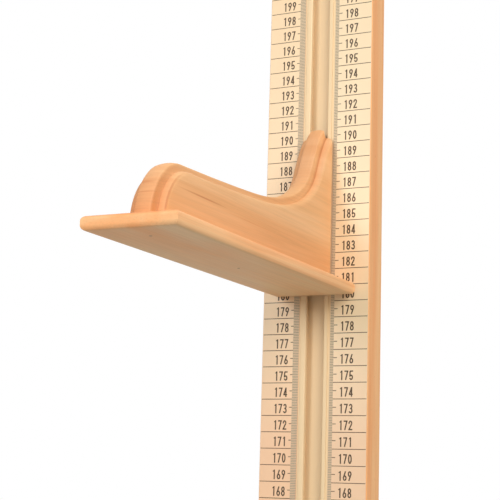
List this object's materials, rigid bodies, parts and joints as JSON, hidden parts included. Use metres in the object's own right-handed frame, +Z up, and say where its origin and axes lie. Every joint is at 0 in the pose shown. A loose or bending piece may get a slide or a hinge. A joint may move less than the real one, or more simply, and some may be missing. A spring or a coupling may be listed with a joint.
{
  "type": "wall-mounted stadiometer",
  "caption": "Wall height rod: wooden board with slotted guide rail and printed scale, and a sliding wooden headpiece held by a friction brake.",
  "frame": {"origin": "bottom centre of the back face of the board, on the wall plane", "axes": "+Z up along the board, -Y out of the wall towards the person, +X to the right when facing the board"},
  "size_m": [0.0704, 0.2476, 1.59],
  "materials": {
    "board_wood": "clear satin varnish on beech",
    "paddle_wood": "clear satin varnish on beech",
    "bracket_wood": "clear satin varnish on beech",
    "rail": "satin anodised, warm light tone",
    "scale_print": "matt cream film with brown print",
    "zinc": "zinc plated",
    "pin_steel": "dull, slightly rusted ends",
    "bar_metal": "mill finish",
    "glide_plastic": "smooth moulded",
    "black_plastic": "smooth moulded",
    "spring_steel": "blued grey",
    "felt": "pressed wool felt"
  },
  "bodies": {
    "board": {"backboard": "board_wood", "guide_rail": "rail", "scale_left": "scale_print", "scale_right": "scale_print", "rail_screws": "zinc", "top_stop": "black_plastic", "bottom_stop": "black_plastic", "stop_screws": "zinc"},
    "headpiece": {"head_paddle": "paddle_wood", "bracket": "bracket_wood", "paddle_pins": "pin_steel", "carriage_bar": "bar_metal", "upper_glide": "glide_plastic", "lower_glide": "glide_plastic", "carriage_screws": "zinc", "glide_screws": "zinc", "brake_spring": "spring_steel", "brake_pad": "felt"}
  },
  "joints": [
    {"name": "headpiece_slide", "type": "slide", "parent": "board", "child": "headpiece", "axis": [0, 0, 1], "range_m": [-1.1982, 0.2518]}
  ]
}
